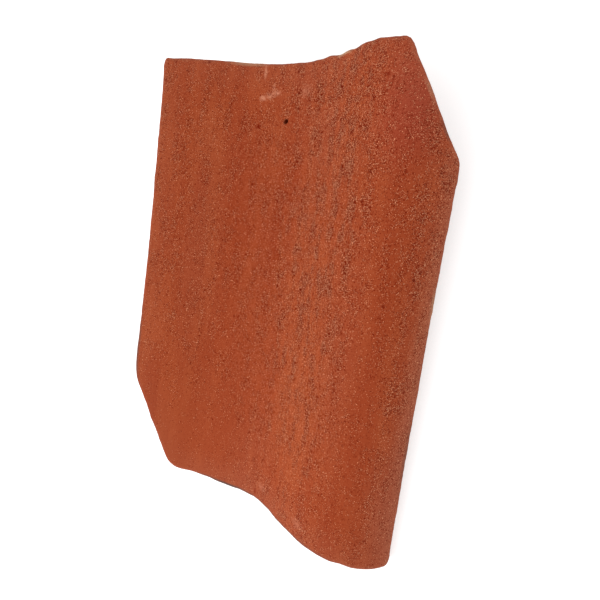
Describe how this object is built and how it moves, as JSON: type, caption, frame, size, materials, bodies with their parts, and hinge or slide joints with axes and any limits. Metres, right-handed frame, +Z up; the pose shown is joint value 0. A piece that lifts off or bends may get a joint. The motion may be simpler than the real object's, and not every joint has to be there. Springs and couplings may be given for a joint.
{
  "type": "clay roof tile",
  "caption": "S-shaped single-lap clay pantile with a shallow pan, a roll, clipped corners, a nail hole and a hanging nib.",
  "frame": {"origin": "centre of the bounding box's bottom, on the floor that the tile lies on", "axes": "+Z up, out of the weathered face; +Y along the tile from its tail to its head; +X across it from the pan to the roll"},
  "size_m": [0.2398, 0.344, 0.0687],
  "materials": {
    "clay": "sanded, unglazed"
  },
  "bodies": {
    "root": {"pantile": "clay"}
  },
  "joints": []
}
